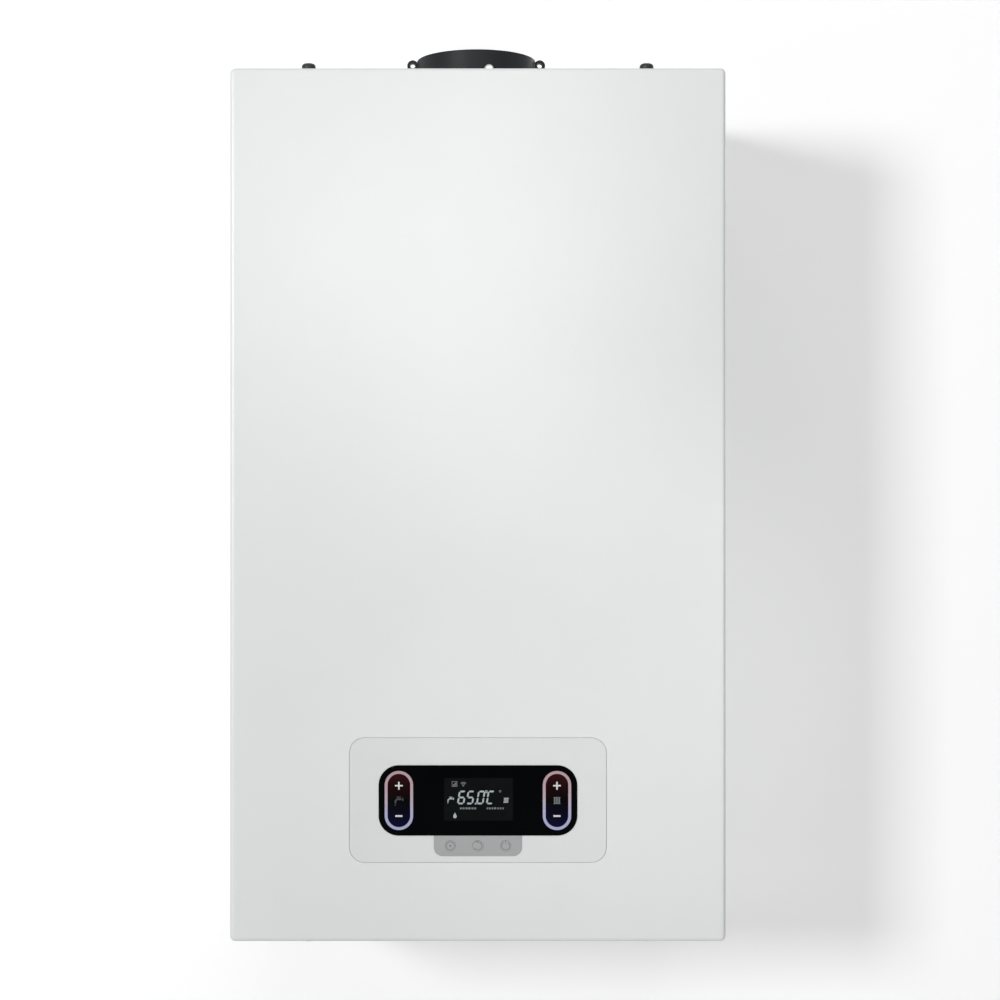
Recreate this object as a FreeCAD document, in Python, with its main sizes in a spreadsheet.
import FreeCAD, Part
import math
import os
import re

import Sketcher
from FreeCAD import Placement, Rotation, Vector

# A wall-hung condensing boiler. X runs to the right and Z up, seen from the room; the wall is the
# plane Y = 0 and the room lies at negative Y. The origin is the middle of the wall bracket's two slots.

# Driving dimensions, in millimetres.
SIZES = {
    # Casing
    "casing_width": 420,
    "casing_height": 740,
    "casing_depth": 275,
    "casing_sheet": 1,
    "casing_corner": 4.5,
    "casing_bend": 3.5,
    "casing_lip": 32,
    "casing_return": 12,
    "casing_rear_gap": 10,
    "screw_spread": 144.4,
    "screw_depth": 17,
    "screw_shank": 2,
    "screw_slot_gap": 0.6,
    "top_screw_head": 6,
    "top_screw_rise": 6.5,
    "bottom_screw_head": 4,
    "bottom_screw_rise": 2.4,
    # Frame and wall bracket
    "bracket_drop": 80,
    "bracket_length": 340,
    "bracket_sheet": 2.5,
    "bracket_below": 22,
    "bracket_above": 20,
    "bracket_lip": 12,
    "bracket_slot_spread": 150,
    "bracket_slot": 22,
    "bracket_slot_width": 10,
    "wall_gap": 6.5,
    "frame_sheet": 1.2,
    "frame_setback": 8,
    "side_gap": 4,
    "lip_gap": 0.3,
    "hook_gap": 0.3,
    "buffer_radius": 9,
    "buffer_spread": 150,
    "buffer_height": 45,
    # Flue collar
    "flue_setback": 138,
    "collar_rise": 34.4,
    "collar_radius": 54,
    "collar_flange": 66,
    "collar_flange_thick": 4,
    "collar_skirt": 20,
    "collar_web": 5,
    "air_bore": 50,
    "air_socket": 18,
    "flue_bore": 30,
    "flue_socket": 30,
    "flue_wall": 3,
    "collar_ear": 5,
    "collar_ear_hole": 2.3,
    "collar_ear_width": 6,
    "collar_screw_spread": 42.4,
    "lock_rise": 16.8,
    "lock_seat": 0.35,
    "lock_length": 3.2,
    "plug_radius": 9,
    # Condensing heat exchanger and its door
    "vessel_depth": 70,
    "exchanger_gap": 8,
    "exchanger_drop": 178,
    "exchanger_radius": 100,
    "exchanger_length": 96,
    "exchanger_wall": 3,
    "exchanger_flange": 7,
    "exchanger_flange_thick": 4,
    "spigot_bore": 36,
    "spigot_wall": 3,
    "spigot_overlap": 15,
    "port_reach": 18,
    "port_drop": 20,
    "water_pipe": 9,
    "water_wall": 1,
    "coil_inner": 76,
    "coil_outer": 92,
    "coil_turn": 10,
    "coil_gap": 3,
    "coil_groove": 5,
    "seal_thick": 2,
    "door_thick": 14,
    "door_rim": 6,
    "door_port": 30,
    "burner_radius": 34,
    "burner_wall": 1.5,
    "burner_length": 68,
    "burner_flange": 44,
    "insulation_thick": 11,
    "electrode_spread": 50,
    "electrode_rise": 40,
    "electrode_radius": 3.5,
    "electrode_reach": 15,
    "nut_circle": 98,
    "nut_radius": 5.7,
    "nut_thick": 5,
    "cradle_height": 52,
    "cradle_sheet": 2,
    # Fan, mixer and gas
    "fan_drop": 72,
    "fan_radius": 68,
    "fan_depth": 44,
    "fan_wall": 3,
    "fan_outlet": 42,
    "fan_outlet_rise": 82,
    "impeller_radius": 58,
    "fan_shaft": 4,
    "fan_motor_radius": 40,
    "fan_motor_length": 20,
    "manifold_wall": 3,
    "manifold_radius": 36,
    "manifold_half": 27,
    "mixer_radius": 32,
    "mixer_length": 46,
    "gas_pipe": 8,
    "gas_bend": 20,
    "gas_riser_gap": 22,
    "ignition_width": 36,
    "ignition_depth": 32,
    "ignition_height": 48,
    "ignition_rise": 20,
    "lead_radius": 3,
    "lead_bend": 40,
    "lead_stand": 20,
    "boot_radius": 7,
    "boot_length": 16,
    "boot_stand": 14,
    "silencer_left": 34,
    "silencer_right": 84,
    "silencer_half": 36,
    "silencer_depth": 50,
    "silencer_wall": 2,
    "valve_width": 70,
    "valve_height": 88,
    "valve_depth": 56,
    "valve_level": 208,
    "valve_outlet": 74,
    # Water side
    "vessel_radius": 158,
    "vessel_level": 452,
    "vessel_rim": 5,
    "vessel_wall": 1.5,
    "vessel_pipe": 5,
    "vessel_bend": 15,
    "vessel_tail": 8,
    "vessel_drop": 30,
    "vessel_offset": 8,
    "stub_pitch": 65,
    "stub_drop": 17,
    "stub_setback": 108,
    "heating_thread": 13.22,
    "tap_thread": 10.48,
    "thread_relief": 0.8,
    "hole_gap": 1.5,
    "fit_gap": 0.1,
    "run_gap": 0.4,
    "cap_gap": 0.3,
    "group_low": 70,
    "group_high": 175,
    "group_depth": 60,
    "group_inner": 48,
    "group_outer": 150,
    "group_wall": 5,
    "guide_length": 16,
    "plate_width": 190,
    "plate_height": 75,
    "plate_depth": 46,
    "plate_level": 90,
    "plate_count": 11,
    "plate_step": 1.5,
    "plate_margin": 8,
    "plate_port": 10,
    "pump_x": 108,
    "pump_level": 226,
    "pump_radius": 46,
    "pump_depth": 50,
    "pump_motor_radius": 42,
    "pump_motor_length": 64,
    "pump_cavity": 33,
    "pump_shaft": 5,
    "shaft_gap": 0.05,
    "riser_x": 152,
    "riser_level": 318,
    "flow_offset": 5,
    "flow_jog": 60,
    "flow_bend": 18,
    "return_bend": 16,
    "vent_radius": 11,
    "vent_offset": 30,
    "vent_height": 38,
    "actuator_x": 92,
    "actuator_height": 62,
    "stem_radius": 3,
    "stem_travel": 8,
    "safety_x": 118,
    "safety_level": 130,
    "safety_half": 13,
    "safety_bonnet": 9,
    "knob_radius": 14,
    "knob_height": 15,
    "tap_x": 97,
    "tap_setback": 122,
    "siphon_inset": 31.8,
    "siphon_setback": 160,
    "siphon_radius": 22,
    "siphon_low": 190,
    "siphon_high": 325,
    "hose_radius": 9,
    "hose_wall": 2,
    "hose_bend": 24,
    "hose_drop": 55,
    "drain_thread": 10,
    # Control panel
    "panel_level": 120.0,
    "panel_width": 216.6,
    "panel_height": 104.6,
    "panel_corner": 12.5,
    "panel_gap": 0.7,
    "panel_thick": 3.6,
    "glass_width": 168,
    "glass_height": 59.4,
    "glass_corner": 17,
    "glass_thick": 2.2,
    "glass_proud": 0.6,
    "glass_drop": 0.3,
    "ring_spread": 66.9,
    "ring_width": 24,
    "ring_height": 50,
    "ring_band": 2.4,
    "rocker_gap": 0.25,
    "rocker_thick": 3,
    "rocker_proud": 0.2,
    "axle_radius": 0.9,
    "axle_play": 0.2,
    "window_gap": 0.2,
    "strip_width": 74.6,
    "strip_height": 17.4,
    "strip_corner": 7.5,
    "strip_proud": 0.3,
    "key_radius": 4.4,
    "key_spread": 23.4,
    "key_gap": 0.2,
    "key_proud": 0.5,
    "key_travel": 0.8,
    "key_stop_gap": 0.2,
    "box_width": 206,
    "box_height": 96,
    "box_depth": 64,
    "box_wall": 2,
    "board_thick": 1.6,
    "lcd_width": 66,
    "lcd_height": 42,
    "lcd_gap": 0.3,
}

# Places worked out from the driving dimensions, each from those above it.
PLACES = {
    "top": "bracket_drop",
    "bottom": "bracket_drop - casing_height",
    "front": "-casing_depth",
    "front_inner": "front + casing_sheet",
    "rear": "-(wall_gap + frame_sheet)",
    "half_frame": "casing_width / 2 - casing_sheet - side_gap",
    "half_inside": "half_frame - frame_sheet",
    "frame_front": "front + frame_setback",
    "roof": "top - casing_sheet - lip_gap",
    "ceiling": "roof - frame_sheet",
    "underside": "bottom + casing_sheet + lip_gap",
    "deck": "underside + frame_sheet",
    "screw_y": "front + screw_depth",
    "screw_slot": "screw_shank + screw_slot_gap",
    "hook_face": "rear - hook_gap",
    "flue_y": "-flue_setback",
    "rim": "top + collar_rise",
    "lock_x": "collar_radius / 5",
    "lock_z": "top + lock_rise",
    "flue_outer": "flue_bore + flue_wall",
    "flue_top": "rim - air_socket - 2",
    "flue_step": "flue_top - flue_socket",
    "exchanger_rear": "rear - vessel_depth - exchanger_gap",
    "exchanger_front": "exchanger_rear - exchanger_length",
    "exchanger_z": "roof - exchanger_drop",
    "spigot_top": "roof - collar_skirt - spigot_overlap",
    "flue_low": "spigot_top - spigot_overlap",
    "door_radius": "exchanger_radius + exchanger_flange",
    "door_rear": "exchanger_front - seal_thick",
    "door_front": "door_rear - door_thick",
    "port_y": "-stub_setback",
    "tap_y": "-tap_setback",
    "port_x": "exchanger_radius + port_reach",
    "port_z": "exchanger_z - port_drop",
    "cradle_top": "exchanger_z - exchanger_radius / 2",
    "cradle_y": "exchanger_rear - exchanger_length / 2",
    "fan_x": "fan_radius - fan_outlet / 2",
    "fan_z": "exchanger_z - exchanger_radius - fan_drop",
    "ignition_top": "fan_z + ignition_rise + ignition_height",
    "fan_top": "fan_z + fan_outlet_rise",
    "fan_front": "door_front - fan_depth",
    "mixer_rear": "door_front + mixer_length",
    "gas_y": "door_front + mixer_length / 2",
    "gas_port_x": "fan_x + mixer_radius + 20",
    "gas_riser_x": "gas_port_x + gas_riser_gap + 10",
    "valve_low": "bottom + valve_level",
    "valve_port_z": "valve_low + valve_outlet",
    "vessel_z": "bottom + vessel_level",
    "vessel_tail_low": "vessel_z - vessel_radius - vessel_rim - vessel_tail",
    "vessel_mid": "rear - vessel_depth / 2",
    "stub_low": "bottom - stub_drop",
    "group_bottom": "bottom + group_low",
    "group_top": "bottom + group_high",
    "group_front": "port_y - group_depth / 2 - 2",
    "group_rear": "port_y + group_depth / 2 - 2",
    "plate_front": "rear - 4 - plate_depth",
    "plate_low": "bottom + plate_level",
    "pump_z": "bottom + pump_level",
    "pump_rear": "port_y + pump_depth / 2",
    "pump_front": "port_y - pump_depth / 2",
    "pump_top": "pump_z + pump_radius + 14",
    "vent_x": "pump_x - vent_offset",
    "vent_base": "pump_z + pump_radius + 10",
    "safety_y": "group_front - safety_half - 4",
    "safety_z": "bottom + safety_level",
    "siphon_x": "half_inside - siphon_inset",
    "siphon_y": "-siphon_setback",
    "siphon_base": "bottom + siphon_low",
    "siphon_top": "bottom + siphon_high",
    "condensate_x": "exchanger_radius / 2",
    "condensate_z": "exchanger_z - exchanger_radius - 14",
    "panel_z": "bottom + panel_level",
    "panel_rear": "front + panel_thick",
    "glass_z": "panel_z - glass_drop",
    "glass_front": "front - glass_proud",
    "glass_rear": "glass_front + glass_thick",
    "glass_low": "glass_z - glass_height / 2",
    "strip_low": "glass_low - strip_height",
    "key_z": "glass_low - strip_height / 2",
    "box_front": "panel_rear + 10",
    "box_rear": "box_front + box_depth",
    "board_front": "box_front + 8",
    "rocker_front": "glass_front - rocker_proud",
}

# Relay, capacitor, transformer and plug on the board: middle across and up, half width, half height, depth.
BOARD_PARTS = [(-60, 12, 18, 16, 26), (-14, -18, 10, 12, 16), (30, 14, 22, 9, 12), (62, -16, 12, 12, 20)]

UP = Rotation()
DOWNWARD = Rotation(Vector(1, 0, 0), 180)
FRONTWARD = Rotation(Vector(1, 0, 0), 90)
REARWARD = Rotation(Vector(1, 0, 0), -90)
RIGHTWARD = Rotation(Vector(0, 1, 0), 90)
LEFTWARD = Rotation(Vector(0, 1, 0), -90)

doc = FreeCAD.newDocument("CondensingBoiler")
sheet = doc.addObject("Spreadsheet::Sheet", "Dims")
places = doc.addObject("App::VarSet", "Places")
nodes = []


# Sizes and expressions

def fill_sheet():
    for row, (alias, size) in enumerate(SIZES.items(), 1):
        sheet.set(f"A{row}", alias.replace("_", " "))
        sheet.set(f"B{row}", str(size))
        sheet.setAlias(f"B{row}", alias)
    doc.recompute()
    for name, text in PLACES.items():
        places.addProperty("App::PropertyFloat", name)
        places.setExpression(name, bound(text))
    doc.recompute()


def bound(text):
    """An expression in plain names, with each name pointed at its cell or its place."""

    def point(found):
        word = found.group()
        if word in SIZES:
            return "Dims." + word
        return "Places." + word if word in PLACES else word

    return re.sub(r"[a-z]\w*", point, str(text))


def mm(name):
    return float(sheet.get(name)) if name in SIZES else float(getattr(places, name))


def bind(thing, prop, text):
    thing.setExpression(prop, bound(text))


def put(thing, base, turn=UP):
    """Turns a piece and binds its place to three expressions."""
    thing.Placement = Placement(Vector(), turn)
    for axis, text in zip("xyz", base):
        bind(thing, f"Placement.Base.{axis}", text)


def keep(thing, label):
    """Makes a finished piece a node of the assembly."""
    thing.Label = label
    nodes.append(thing)
    return thing


# Solids from primitives

def block(low, high):
    made = doc.addObject("Part::Box", "block")
    for prop, a, b in zip(("Length", "Width", "Height"), low, high):
        bind(made, prop, f"({b}) - ({a})")
    put(made, low)
    return made


def rod(radius, length, base, turn=UP):
    made = doc.addObject("Part::Cylinder", "rod")
    bind(made, "Radius", radius)
    bind(made, "Height", length)
    put(made, base, turn)
    return made


def hexagon(radius, length, base, turn=UP):
    made = doc.addObject("Part::Prism", "hexagon")
    made.Polygon = 6
    bind(made, "Circumradius", radius)
    bind(made, "Height", length)
    put(made, base, turn)
    return made


def fuse(*pieces):
    made = doc.addObject("Part::MultiFuse", "joined")
    made.Shapes = pieces
    made.Refine = True
    return made


def cut(piece, *tools):
    made = doc.addObject("Part::Cut", "trimmed")
    made.Base = piece
    made.Tool = fuse(*tools) if len(tools) > 1 else tools[0]
    made.Refine = True
    return made


def group(*pieces):
    made = doc.addObject("Part::Compound", "group")
    made.Links = pieces
    return made


# Solids from sketches

def new_body(label):
    return doc.addObject("PartDesign::Body", label)


def sketch(body, role, offset="0"):
    """A sketch on one of the body's own planes, moved along that plane's normal."""
    made = body.newObject("Sketcher::SketchObject", "outline")
    plane = next(f for f in body.Origin.OriginFeatures if f.Role == role)
    made.AttachmentSupport = [(plane, "")]
    made.MapMode = "FlatFace"
    bind(made, "AttachmentOffset.Base.z", offset)
    return made


def polygon(outline, corners):
    """A closed outline with every corner held at its two expressions."""
    first, count = outline.GeometryCount, len(corners)
    ring = [Vector(math.cos(i * math.tau / count), math.sin(i * math.tau / count), 0) for i in range(count)]
    for i in range(count):
        outline.addGeometry(Part.LineSegment(ring[i], ring[(i + 1) % count]), False)
    for i in range(count):
        outline.addConstraint(Sketcher.Constraint("Coincident", first + i, 2, first + (i + 1) % count, 1))
    for i, corner in enumerate(corners):
        hold(outline, first + i, 1, corner)


def hold(outline, edge, point, place):
    for kind, text in zip(("DistanceX", "DistanceY"), place):
        index = outline.addConstraint(Sketcher.Constraint(kind, -1, 1, edge, point, 1.0))
        bind(outline, f"Constraints[{index}]", text)


def circle(outline, centre, radius):
    edge = outline.addGeometry(Part.Circle(Vector(), Vector(0, 0, 1), 1), False)
    hold(outline, edge, 3, centre)
    index = outline.addConstraint(Sketcher.Constraint("Radius", edge, 1.0))
    bind(outline, f"Constraints[{index}]", radius)


def box_corners(left, right, low, high):
    return [(left, low), (right, low), (right, high), (left, high)]


def pad(body, outline, length):
    made = body.newObject("PartDesign::Pad", "pad")
    made.Profile = outline
    bind(made, "Length", length)
    doc.recompute()
    return made


def pocket(body, outline, length):
    """Cuts against the sketch's normal, and makes sure that something was cut."""
    before = body.Shape.Volume
    made = body.newObject("PartDesign::Pocket", "pocket")
    made.Profile = outline
    bind(made, "Length", length)
    doc.recompute()
    if body.Shape.Volume > before - 1e-6:
        raise RuntimeError(f"a pocket in {body.Label} cuts nothing")
    return made


def fillet(body, radius, test):
    """Rounds the edges of the body's last feature that pass a test."""
    last = body.Tip
    found = [f"Edge{i}" for i, edge in enumerate(last.Shape.Edges, 1) if test(edge)]
    made = body.newObject("PartDesign::Fillet", "rounding")
    made.Base = (last, found)
    bind(made, "Radius", radius)
    doc.recompute()
    return made


def runs_along(edge, axis):
    way = edge.tangentAt(edge.FirstParameter)
    return edge.Curve.TypeId == "Part::GeomLine" and abs(abs(getattr(way, axis)) - 1) < 1e-6


def lies_at(edge, axis, place):
    box = edge.BoundBox
    low, high = getattr(box, axis + "Min"), getattr(box, axis + "Max")
    return abs(low - place) < 1e-4 and abs(high - place) < 1e-4


def front_plate(label, corners, rear, thick):
    """A plate that faces the room: an outline in X and Z, grown towards the room from its rear face."""
    body = new_body(label)
    outline = sketch(body, "XZ_Plane", f"-({rear})")
    polygon(outline, corners)
    pad(body, outline, thick)
    return body


def turned(label, profile, base, turn=UP):
    """A turned piece: a profile of radius and height, spun about its own axis and then placed."""
    body = new_body(label)
    outline = sketch(body, "XZ_Plane")
    polygon(outline, profile)
    spun = body.newObject("PartDesign::Revolution", "spin")
    spun.Profile = outline
    spun.ReferenceAxis = (outline, ["V_Axis"])
    spun.Angle = 360
    doc.recompute()
    put(body, base, turn)
    return body


def stadium(width, height, centre, rear, thick):
    """An upright oval slab that faces the room."""
    x, z = centre
    half, reach = f"({width}) / 2", f"(({height}) - ({width})) / 2"
    low = (f"{x} - {half}", f"{rear} - ({thick})", f"{z} - {reach}")
    slab = block(low, (f"{x} + {half}", rear, f"{z} + {reach}"))
    ends = [rod(half, thick, (x, rear, f"{z} {sign} {reach}"), FRONTWARD) for sign in "+-"]
    return fuse(slab, *ends)


# Bent pipes

def rounded_path(corners, bend):
    """Straight runs joined by tangent arcs."""
    edges, start = [], corners[0]
    for before, corner, after in zip(corners, corners[1:], corners[2:]):
        come, go = (before - corner).normalize(), (after - corner).normalize()
        turn = math.pi - come.getAngle(go)
        reach = bend * math.tan(turn / 2)
        first, last = corner + come * reach, corner + go * reach
        inward = (come + go).normalize()
        middle = corner + inward * (bend / math.cos(turn / 2) - bend)
        edges += [Part.LineSegment(start, first).toShape(), Part.Arc(first, middle, last).toShape()]
        start = last
    return Part.Wire(edges + [Part.LineSegment(start, corners[-1]).toShape()])


def swept(path, radius):
    start = path.Edges[0]
    first = start.FirstParameter
    section = Part.Wire(Part.makeCircle(radius, start.valueAt(first), start.tangentAt(first)))
    solid = path.makePipeShell([section], True, False)
    if abs(solid.Volume / (math.pi * radius**2 * path.Length) - 1) > 0.01:
        raise RuntimeError("a pipe's volume does not match its length")
    return solid


def pipe(label, corners, radius, wall, bend):
    """A bent tube through corners whose places are named."""
    path = rounded_path([Vector(*corner) for corner in corners], bend)
    made = doc.addObject("Part::Feature", label)
    made.Shape = swept(path, radius).cut(swept(path, radius - wall))
    return made


# Casing

def make_front_casing():
    body = front_plate(
        "front_casing",
        box_corners("-casing_width / 2", "casing_width / 2", "bottom", "top"),
        "-casing_rear_gap",
        "casing_depth - casing_rear_gap",
    )
    fillet(body, "casing_corner", lambda edge: runs_along(edge, "y"))
    fillet(body, "casing_bend", lambda edge: lies_at(edge, "Y", mm("front")))
    shell = body.newObject("PartDesign::Thickness", "shell")
    solid = shell.BaseFeature
    open_face = [
        f"Face{i}"
        for i, face in enumerate(solid.Shape.Faces, 1)
        if lies_at(face, "Y", -mm("casing_rear_gap"))
    ]
    shell.Base = (solid, open_face)
    bind(shell, "Value", "casing_sheet")
    doc.recompute()
    inner = "casing_width / 2 - casing_return"
    for level in ("top + casing_sheet", "bottom + 2 * casing_sheet"):
        wide = sketch(body, "XY_Plane", level)
        polygon(wide, box_corners(f"-({inner})", inner, "front + casing_lip", "0"))
        pocket(body, wide, "3 * casing_sheet")
        slots = sketch(body, "XY_Plane", level)
        for side in ("-screw_spread", "screw_spread"):
            ends = f"{side} - screw_slot", f"{side} + screw_slot"
            polygon(slots, box_corners(*ends, "screw_y - screw_slot", "front + casing_lip + 1"))
        pocket(body, slots, "3 * casing_sheet")
    window = sketch(body, "XZ_Plane", "-(front - 1)")
    half = "panel_width / 2 + panel_gap"
    rise = "panel_height / 2 + panel_gap"
    polygon(window, box_corners(f"-({half})", half, f"panel_z - ({rise})", f"panel_z + {rise}"))
    pocket(body, window, "casing_sheet + 2")
    fillet(body, "panel_corner + panel_gap", is_window_corner)
    keep(body, "front_casing")


def is_window_corner(edge):
    across = mm("panel_width") / 2 + mm("panel_gap")
    return runs_along(edge, "y") and (lies_at(edge, "X", across) or lies_at(edge, "X", -across))


def casing_screws(level, head, rise, round_over, turn):
    """A pair of screws that clamp the casing's lip and stand in its open slots."""
    profile = [
        ("0", "-(casing_sheet + lip_gap + frame_sheet + 5)"),
        ("screw_shank", "-(casing_sheet + lip_gap + frame_sheet + 5)"),
        ("screw_shank", "lip_gap"),
        (head, "lip_gap"),
        (head, f"lip_gap + {rise}"),
        ("0", f"lip_gap + {rise}"),
    ]
    pair = []
    for side in ("-screw_spread", "screw_spread"):
        screw = turned("screw", profile, (side, "screw_y", level), turn)
        fillet(screw, round_over, lambda edge: lies_at(edge, "Z", mm("lip_gap") + mm(rise)))
        pair.append(screw)
    return pair


# Frame and wall bracket

def make_frame():
    rear_panel = front_plate(
        "rear_panel", box_corners("-half_inside", "half_inside", "deck", "ceiling"), "-wall_gap", "frame_sheet"
    )
    hatch = sketch(rear_panel, "XZ_Plane", "-rear + 1")
    half = "bracket_length / 2 + 4"
    polygon(hatch, box_corners(f"-({half})", half, "-bracket_below - 4", "bracket_above"))
    pocket(rear_panel, hatch, "frame_sheet + 2")
    sides = []
    for side in ("-half_frame", "half_inside"):
        panel = new_body("side_panel")
        outline = sketch(panel, "YZ_Plane", side)
        polygon(outline, box_corners("frame_front", "-wall_gap", "underside", "roof"))
        pad(panel, outline, "frame_sheet")
        sides.append(panel)
    keep(fuse(rear_panel, *sides), "chassis")
    make_top_panel()
    make_bottom_panel()
    buffers = [
        rod("buffer_radius", "wall_gap", (side, "-wall_gap", "deck + buffer_height"), REARWARD)
        for side in ("-buffer_spread", "buffer_spread")
    ]
    keep(group(*buffers), "wall_buffers")


def flat_panel(label, low):
    body = new_body(label)
    outline = sketch(body, "XY_Plane", low)
    polygon(outline, box_corners("-half_inside", "half_inside", "frame_front", "-wall_gap"))
    pad(body, outline, "frame_sheet")
    return body, sketch(body, "XY_Plane", f"{low} + frame_sheet + 1")


def make_top_panel():
    body, holes = flat_panel("top_panel", "ceiling")
    circle(holes, ("0", "flue_y"), "collar_radius - hole_gap + lip_gap")
    for side in ("-1", "1"):
        circle(holes, (f"{side} * screw_spread", "screw_y"), "screw_shank + fit_gap")
        for end in ("-1", "1"):
            where = f"{side} * collar_screw_spread", f"flue_y + {end} * collar_screw_spread"
            circle(holes, where, "screw_shank + fit_gap")
    pocket(body, holes, "frame_sheet + 2")
    keep(body, "top_panel")


def make_bottom_panel():
    body, holes = flat_panel("bottom_panel", "underside")
    for place, radius in (
        (("-2 * stub_pitch", "port_y"), "heating_thread"),
        (("-stub_pitch", "port_y"), "tap_thread"),
        (("0", "gas_y"), "heating_thread"),
        (("stub_pitch", "port_y"), "tap_thread"),
        (("2 * stub_pitch", "port_y"), "heating_thread"),
        (("tap_x", "tap_y"), "hose_radius"),
        (("-tap_x", "tap_y"), "hose_radius"),
        (("-siphon_x", "siphon_y"), "drain_thread"),
        (("safety_x", "safety_y"), "hose_radius"),
        (("-stub_pitch / 2", "siphon_y"), "plug_radius - hole_gap"),
        (("stub_pitch", "siphon_y"), "plug_radius - hole_gap"),
    ):
        circle(holes, place, f"{radius} + hole_gap")
    for side in ("-screw_spread", "screw_spread"):
        circle(holes, (side, "screw_y"), "screw_shank + fit_gap")
    pocket(body, holes, "frame_sheet + 2")
    keep(body, "bottom_panel")


def make_wall_bracket():
    """A galvanised rail whose upturned lip carries the top edge of the rear panel's hatch."""
    body = new_body("wall_bracket")
    profile = sketch(body, "YZ_Plane", "-bracket_length / 2")
    polygon(
        profile,
        [
            ("0", "-bracket_below"),
            ("0", "bracket_above"),
            ("rear", "bracket_above"),
            ("hook_face", "bracket_above"),
            ("hook_face", "bracket_above + bracket_lip"),
            ("hook_face - bracket_sheet", "bracket_above + bracket_lip"),
            ("hook_face - bracket_sheet", "bracket_above - bracket_sheet"),
            ("-bracket_sheet", "bracket_above - bracket_sheet"),
            ("-bracket_sheet", "-bracket_below"),
        ],
    )
    pad(body, profile, "bracket_length")
    half = "bracket_slot_width / 2"
    reach = "(bracket_slot - bracket_slot_width) / 2"
    runs = sketch(body, "XZ_Plane", "bracket_sheet + 1")
    for side in ("-bracket_slot_spread", "bracket_slot_spread"):
        polygon(runs, box_corners(f"{side} - {reach}", f"{side} + {reach}", f"-{half}", half))
    pocket(body, runs, "bracket_sheet + 2")
    ends = sketch(body, "XZ_Plane", "bracket_sheet + 1")
    for side in ("-bracket_slot_spread", "bracket_slot_spread"):
        circle(ends, (f"{side} - {reach}", "0"), half)
        circle(ends, (f"{side} + {reach}", "0"), half)
    pocket(body, ends, "bracket_sheet + 2")
    keep(body, "wall_bracket")


# Flue collar

def make_flue_collar():
    outer = fuse(
        rod("collar_flange", "collar_flange_thick", ("0", "flue_y", "roof")),
        rod("collar_radius", "rim - roof", ("0", "flue_y", "roof")),
        rod("collar_radius - hole_gap", "collar_skirt", ("0", "flue_y", "roof - collar_skirt")),
        *collar_ears(),
    )
    ring = cut(
        outer,
        rod("air_bore", "air_socket + 1", ("0", "flue_y", "rim - air_socket")),
        rod("air_bore - hole_gap", "rim - roof + collar_skirt", ("0", "flue_y", "roof - collar_skirt - 1")),
        *collar_screw_tools("screw_shank + fit_gap", "collar_flange_thick + 2", "roof - 1"),
    )
    span, half = "air_bore - hole_gap / 3", "collar_web / 2"
    low, high = "roof - collar_skirt + 2", "roof - collar_skirt + 14"
    webs = [
        block((f"-({span})", f"flue_y - {half}", low), (span, f"flue_y + {half}", high)),
        block((f"-{half}", f"flue_y - ({span})", low), (half, f"flue_y + {span}", high)),
    ]
    tube = rod("flue_outer", "flue_top - flue_low", ("0", "flue_y", "flue_low"))
    collar = cut(
        fuse(ring, *webs, tube),
        rod("flue_bore", "flue_socket + 1", ("0", "flue_y", "flue_step")),
        rod("flue_bore - hole_gap", "flue_step - flue_low + 2", ("0", "flue_y", "flue_low - 1")),
        rod("screw_shank + fit_gap", "10", ("lock_x", "flue_y - collar_radius - 1", "lock_z"), REARWARD),
    )
    keep(collar, "flue_collar")
    screws = []
    clamp = "collar_flange_thick + frame_sheet + 4"
    for x in ("-collar_screw_spread", "collar_screw_spread"):
        for y in ("flue_y - collar_screw_spread", "flue_y + collar_screw_spread"):
            screws.append(pan_screw((x, y, "roof + collar_flange_thick"), UP, clamp))
    lock = ("lock_x", "flue_y - collar_radius + lock_seat", "lock_z")
    screws.append(pan_screw(lock, FRONTWARD, "lock_length"))
    screws += casing_screws("bottom", "bottom_screw_head", "bottom_screw_rise", "1.2", DOWNWARD)
    keep(group(*screws), "zinc_screws")
    within, around = "flue_outer + fit_gap", "spigot_bore - fit_gap"
    seal = [(within, "0"), (around, "0"), (around, "8"), (within, "8")]
    flue_seal = turned("flue_seal", seal, ("0", "flue_y", "spigot_top - 10"))
    ring = [("exchanger_radius - exchanger_wall", "0"), ("door_radius", "0")]
    ring += [("door_radius", "seal_thick"), ("exchanger_radius - exchanger_wall", "seal_thick")]
    door_seal = turned("door_seal", ring, ("0", "exchanger_front", "exchanger_z"), FRONTWARD)
    keep(group(flue_seal, door_seal), "seals")


def collar_ears():
    """Two eyelets on the rim, one on each side."""
    pieces = []
    rise = "rim + 1.5 - collar_ear"
    back = "flue_y + collar_ear_width / 2"
    for side in ("-1", "1"):
        middle = f"{side} * (collar_radius + collar_ear - 1)"
        eye = rod("collar_ear", "collar_ear_width", (middle, back, rise), FRONTWARD)
        hole = rod("collar_ear_hole", "collar_ear_width + 2", (middle, f"{back} + 1", rise), FRONTWARD)
        pieces.append(cut(eye, hole))
    return pieces


def collar_screw_tools(radius, length, low):
    return [
        rod(radius, length, (f"{x} * collar_screw_spread", f"flue_y + {y} * collar_screw_spread", low))
        for x in ("-1", "1")
        for y in ("-1", "1")
    ]


def pan_screw(base, turn, length):
    tip = f"-({length})"
    profile = [("0", tip), ("screw_shank", tip), ("screw_shank", "0"), ("2 * screw_shank", "0")]
    profile += [("2 * screw_shank", "1.4"), ("1.3 * screw_shank", "2.6"), ("0", "2.6")]
    return turned("screw", profile, base, turn)


# Heat exchanger, door and burner

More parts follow.
